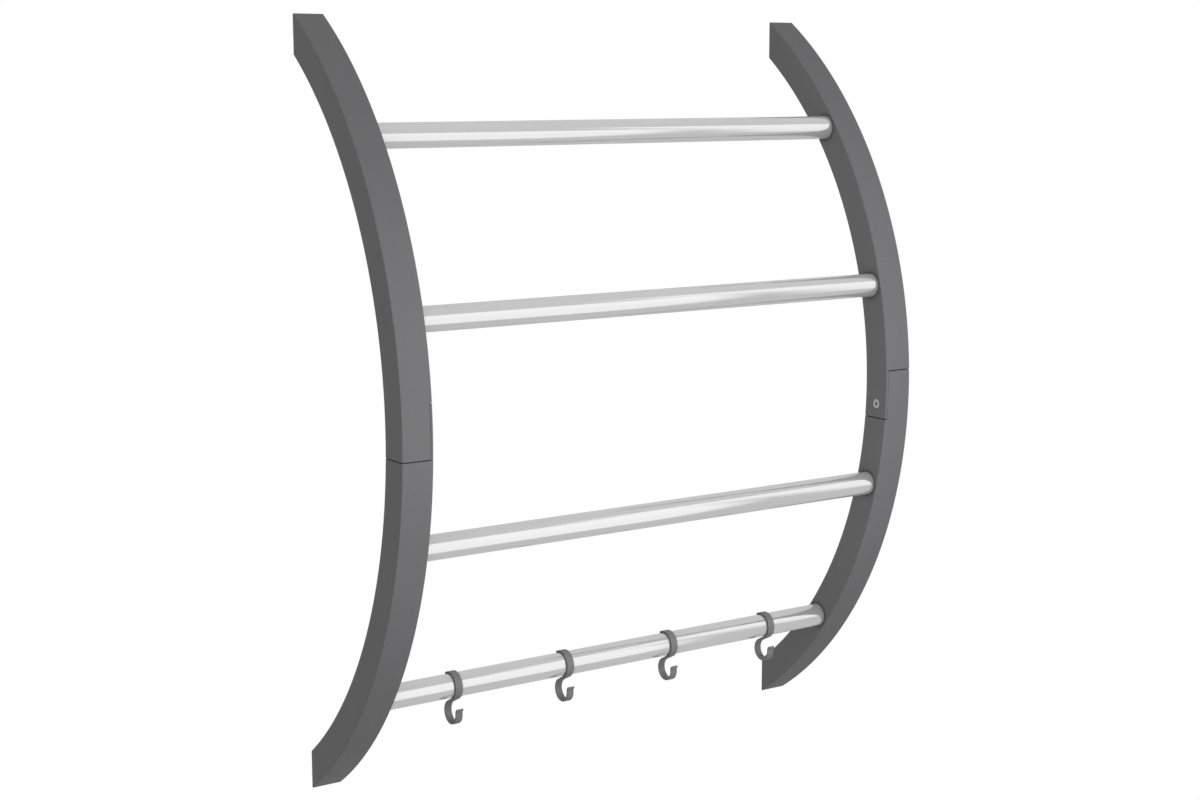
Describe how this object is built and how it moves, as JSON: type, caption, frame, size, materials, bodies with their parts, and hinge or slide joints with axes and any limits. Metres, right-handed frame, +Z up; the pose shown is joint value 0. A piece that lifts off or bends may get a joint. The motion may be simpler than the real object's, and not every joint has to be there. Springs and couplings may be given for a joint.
{
  "type": "towel rack",
  "caption": "Wall-mounted towel rack: curved moulded side arches joined by round polished cross rails, with sliding S-shaped hooks on the bottom rail.",
  "frame": {"origin": "middle of the four wall holes, on the wall plane", "axes": "+Z up, +X along the rails to the right as seen from the front, +Y into the wall, so the front faces -Y"},
  "size_m": [0.55, 0.185, 0.6934],
  "materials": {
    "arch_plastic": "fine matte, dark grey, moulded",
    "hook_plastic": "fine matte, dark grey, moulded",
    "polished_rail": "polished, slightly softened by fine drawing lines",
    "zinc_screw": "zinc plated",
    "joint_screw": "pale satin plated",
    "zinc_bracket": "zinc plated sheet"
  },
  "bodies": {
    "rack": {"left_upper_arch": "arch_plastic", "left_lower_arch": "arch_plastic", "right_upper_arch": "arch_plastic", "right_lower_arch": "arch_plastic", "top_rail": "polished_rail", "upper_rail": "polished_rail", "lower_rail": "polished_rail", "bottom_rail": "polished_rail", "left_upper_rail_screws": "zinc_screw", "left_lower_rail_screws": "zinc_screw", "right_upper_rail_screws": "zinc_screw", "right_lower_rail_screws": "zinc_screw", "left_upper_wall_bracket": "zinc_bracket", "left_lower_wall_bracket": "zinc_bracket", "right_upper_wall_bracket": "zinc_bracket", "right_lower_wall_bracket": "zinc_bracket", "left_upper_lock_screw": "zinc_screw", "left_lower_lock_screw": "zinc_screw", "right_upper_lock_screw": "zinc_screw", "right_lower_lock_screw": "zinc_screw", "left_joint_screw": "joint_screw", "right_joint_screw": "joint_screw"},
    "hook_1": {"hook_1": "hook_plastic"},
    "hook_2": {"hook_2": "hook_plastic"},
    "hook_3": {"hook_3": "hook_plastic"},
    "hook_4": {"hook_4": "hook_plastic"}
  },
  "joints": [
    {"name": "hook_1_slide", "type": "slide", "parent": "rack", "child": "hook_1", "axis": [1, 0, 0], "range_m": [-0.064, 0.054]},
    {"name": "hook_2_slide", "type": "slide", "parent": "rack", "child": "hook_2", "axis": [1, 0, 0], "range_m": [-0.054, 0.054]},
    {"name": "hook_3_slide", "type": "slide", "parent": "rack", "child": "hook_3", "axis": [1, 0, 0], "range_m": [-0.054, 0.054]},
    {"name": "hook_4_slide", "type": "slide", "parent": "rack", "child": "hook_4", "axis": [1, 0, 0], "range_m": [-0.054, 0.064]}
  ]
}
